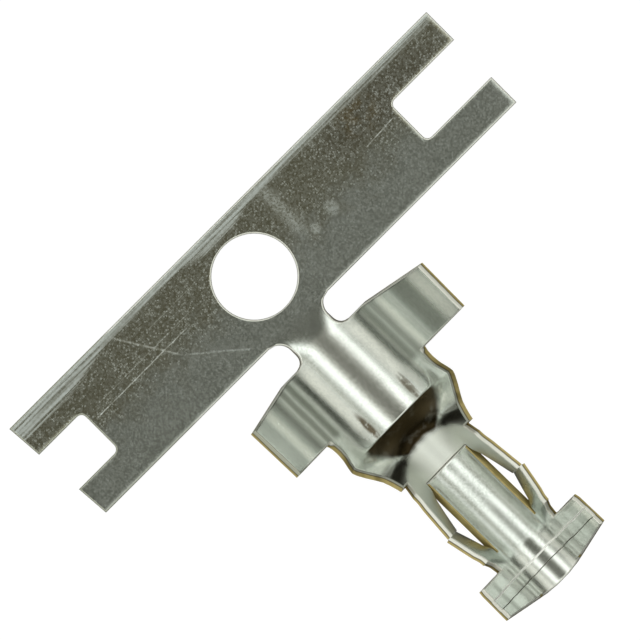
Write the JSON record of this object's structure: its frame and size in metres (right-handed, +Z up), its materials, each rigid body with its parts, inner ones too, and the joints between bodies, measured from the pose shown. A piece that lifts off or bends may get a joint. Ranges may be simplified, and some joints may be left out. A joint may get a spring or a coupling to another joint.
{
  "type": "crimp terminal",
  "caption": "Folded sheet crimp terminal with open insulation barrel, snap-in nose with two spring legs and a small wire barrel, on a cut length of carrier strip",
  "frame": {"origin": "middle of the pilot hole in the carrier strip, on the lower face of the sheet", "axes": "X along the strip, the terminal points to -Y, Z up through the pilot hole; the open side faces +Z"},
  "size_m": [0.0103, 0.0086, 0.0023],
  "materials": {
    "tinned_brass": "matt tin plate over brass, dull grey with fine mottling and rolling marks"
  },
  "bodies": {
    "root": {"crimp_terminal": "tinned_brass"}
  },
  "joints": []
}
